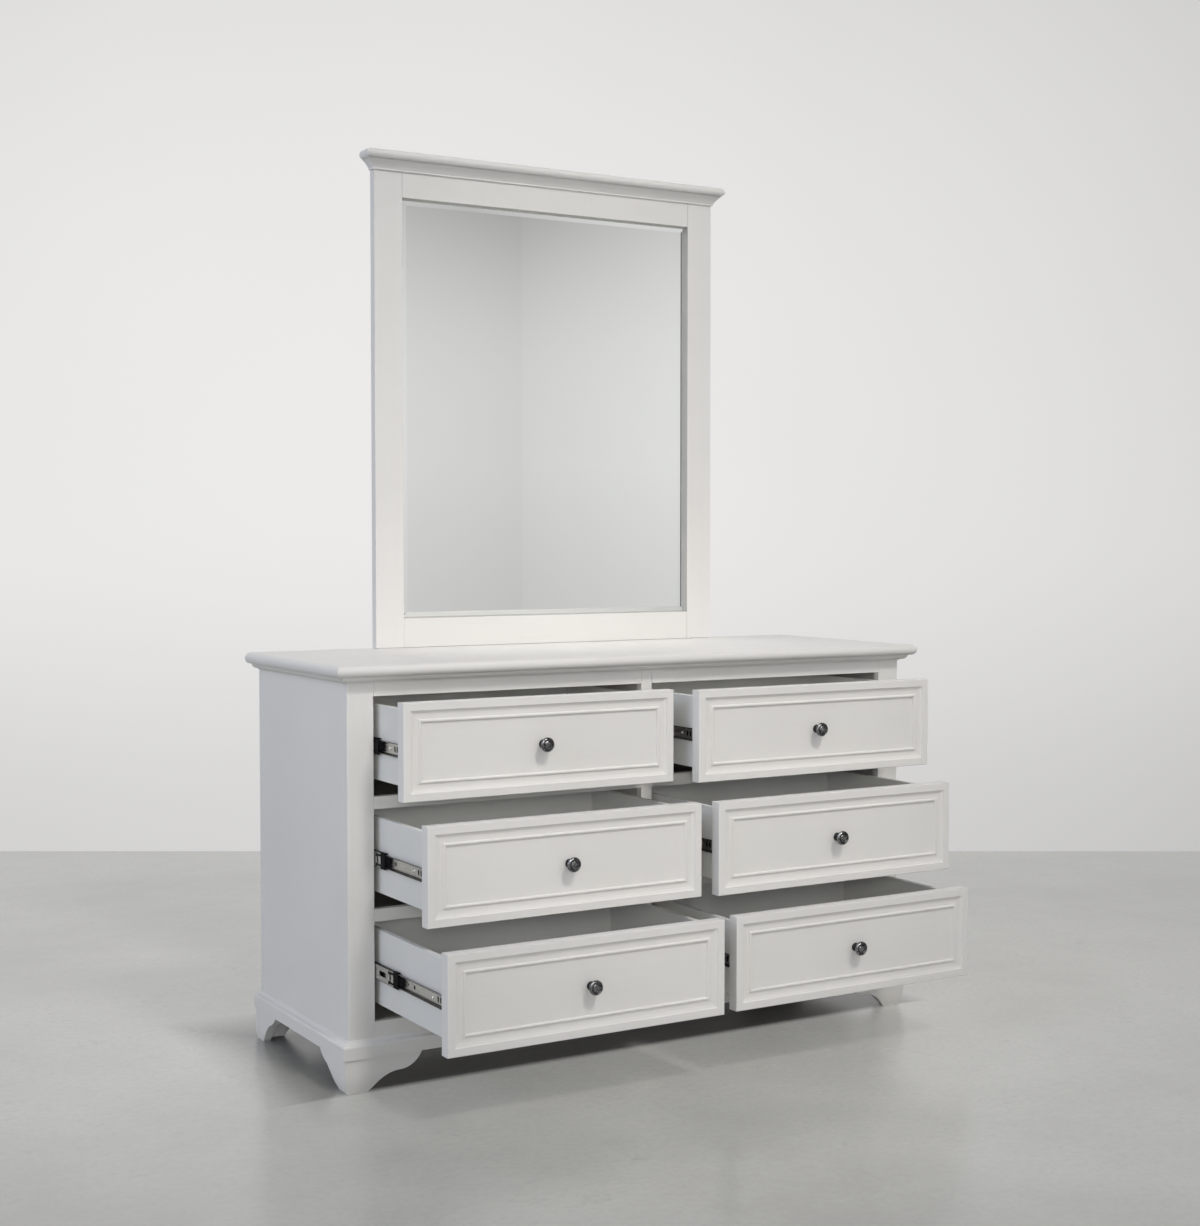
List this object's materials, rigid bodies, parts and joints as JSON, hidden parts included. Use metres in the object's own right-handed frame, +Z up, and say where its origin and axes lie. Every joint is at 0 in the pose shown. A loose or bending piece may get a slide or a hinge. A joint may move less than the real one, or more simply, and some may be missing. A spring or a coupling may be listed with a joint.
{
  "type": "dresser with mirror",
  "caption": "White painted double dresser with inset drawers on ball-bearing slides, round dark knobs, ogee bracket feet and a tall framed mirror behind the top.",
  "frame": {"origin": "on the floor, under the middle of the box round the whole part with its drawers as they stand at rest", "axes": "+Z up, -Y towards the front, where the drawers open, +X to the right as seen from the front"},
  "size_m": [1.57, 0.917, 2.12],
  "materials": {
    "painted_wood": "satin off-white lacquer",
    "plain_wood": "thin off-white lacquer",
    "drawer_wood": "thin grey-white lacquer",
    "hardboard": "smooth brown board",
    "zinc_steel": "bright zinc plate",
    "dark_nickel": "black nickel, polished",
    "silvered_glass": "silvered, bevelled edge"
  },
  "bodies": {
    "cabinet": {"top_board": "painted_wood", "bed_moulding": "painted_wood", "side_panel_left": "painted_wood", "side_panel_right": "painted_wood", "bottom_board": "plain_wood", "centre_partition": "plain_wood", "back_panel": "hardboard", "inner_rails": "plain_wood", "stile_left": "painted_wood", "stile_right": "painted_wood", "stile_centre": "painted_wood", "frame_rails": "painted_wood", "base_moulding": "painted_wood", "foot_front_left": "painted_wood", "foot_front_right": "painted_wood", "foot_rear_left": "painted_wood", "foot_rear_right": "painted_wood", "slide_cabinet_rails": "zinc_steel", "mirror_frame": "painted_wood", "mirror_glass": "silvered_glass", "mirror_backboard": "hardboard", "mirror_crown": "painted_wood", "mirror_posts": "plain_wood"},
    "drawer_top_left": {"drawer_front_top_left": "painted_wood", "drawer_box_top_left": "drawer_wood", "drawer_floor_top_left": "drawer_wood", "knob_top_left": "dark_nickel", "slide_drawer_rails_top_left": "zinc_steel"},
    "runner_top_left": {"slide_runners_top_left": "zinc_steel"},
    "drawer_top_right": {"drawer_front_top_right": "painted_wood", "drawer_box_top_right": "drawer_wood", "drawer_floor_top_right": "drawer_wood", "knob_top_right": "dark_nickel", "slide_drawer_rails_top_right": "zinc_steel"},
    "runner_top_right": {"slide_runners_top_right": "zinc_steel"},
    "drawer_middle_left": {"drawer_front_middle_left": "painted_wood", "drawer_box_middle_left": "drawer_wood", "drawer_floor_middle_left": "drawer_wood", "knob_middle_left": "dark_nickel", "slide_drawer_rails_middle_left": "zinc_steel"},
    "runner_middle_left": {"slide_runners_middle_left": "zinc_steel"},
    "drawer_middle_right": {"drawer_front_middle_right": "painted_wood", "drawer_box_middle_right": "drawer_wood", "drawer_floor_middle_right": "drawer_wood", "knob_middle_right": "dark_nickel", "slide_drawer_rails_middle_right": "zinc_steel"},
    "runner_middle_right": {"slide_runners_middle_right": "zinc_steel"},
    "drawer_bottom_left": {"drawer_front_bottom_left": "painted_wood", "drawer_box_bottom_left": "drawer_wood", "drawer_floor_bottom_left": "drawer_wood", "knob_bottom_left": "dark_nickel", "slide_drawer_rails_bottom_left": "zinc_steel"},
    "runner_bottom_left": {"slide_runners_bottom_left": "zinc_steel"},
    "drawer_bottom_right": {"drawer_front_bottom_right": "painted_wood", "drawer_box_bottom_right": "drawer_wood", "drawer_floor_bottom_right": "drawer_wood", "knob_bottom_right": "dark_nickel", "slide_drawer_rails_bottom_right": "zinc_steel"},
    "runner_bottom_right": {"slide_runners_bottom_right": "zinc_steel"}
  },
  "joints": [
    {"name": "drawer_top_left_slide", "type": "slide", "parent": "cabinet", "child": "drawer_top_left", "axis": [0, -1, 0], "range_m": [-0.144, 0.256]},
    {"name": "runner_top_left_slide", "type": "slide", "parent": "cabinet", "child": "runner_top_left", "axis": [0, -1, 0], "range_m": [-0.072, 0.128]},
    {"name": "drawer_top_right_slide", "type": "slide", "parent": "cabinet", "child": "drawer_top_right", "axis": [0, -1, 0], "range_m": [-0.193, 0.207]},
    {"name": "runner_top_right_slide", "type": "slide", "parent": "cabinet", "child": "runner_top_right", "axis": [0, -1, 0], "range_m": [-0.0965, 0.1035]},
    {"name": "drawer_middle_left_slide", "type": "slide", "parent": "cabinet", "child": "drawer_middle_left", "axis": [0, -1, 0], "range_m": [-0.2585, 0.1415]},
    {"name": "runner_middle_left_slide", "type": "slide", "parent": "cabinet", "child": "runner_middle_left", "axis": [0, -1, 0], "range_m": [-0.12925, 0.07075]},
    {"name": "drawer_middle_right_slide", "type": "slide", "parent": "cabinet", "child": "drawer_middle_right", "axis": [0, -1, 0], "range_m": [-0.2725, 0.1275]},
    {"name": "runner_middle_right_slide", "type": "slide", "parent": "cabinet", "child": "runner_middle_right", "axis": [0, -1, 0], "range_m": [-0.13625, 0.06375]},
    {"name": "drawer_bottom_left_slide", "type": "slide", "parent": "cabinet", "child": "drawer_bottom_left", "axis": [0, -1, 0], "range_m": [-0.349, 0.051]},
    {"name": "runner_bottom_left_slide", "type": "slide", "parent": "cabinet", "child": "runner_bottom_left", "axis": [0, -1, 0], "range_m": [-0.1745, 0.0255]},
    {"name": "drawer_bottom_right_slide", "type": "slide", "parent": "cabinet", "child": "drawer_bottom_right", "axis": [0, -1, 0], "range_m": [-0.342, 0.058]},
    {"name": "runner_bottom_right_slide", "type": "slide", "parent": "cabinet", "child": "runner_bottom_right", "axis": [0, -1, 0], "range_m": [-0.171, 0.029]}
  ],
  "couplings": [
    {"joint": "runner_top_left_slide", "follows": "drawer_top_left_slide", "ratio": 0.5},
    {"joint": "runner_top_right_slide", "follows": "drawer_top_right_slide", "ratio": 0.5},
    {"joint": "runner_middle_left_slide", "follows": "drawer_middle_left_slide", "ratio": 0.5},
    {"joint": "runner_middle_right_slide", "follows": "drawer_middle_right_slide", "ratio": 0.5},
    {"joint": "runner_bottom_left_slide", "follows": "drawer_bottom_left_slide", "ratio": 0.5},
    {"joint": "runner_bottom_right_slide", "follows": "drawer_bottom_right_slide", "ratio": 0.5}
  ]
}
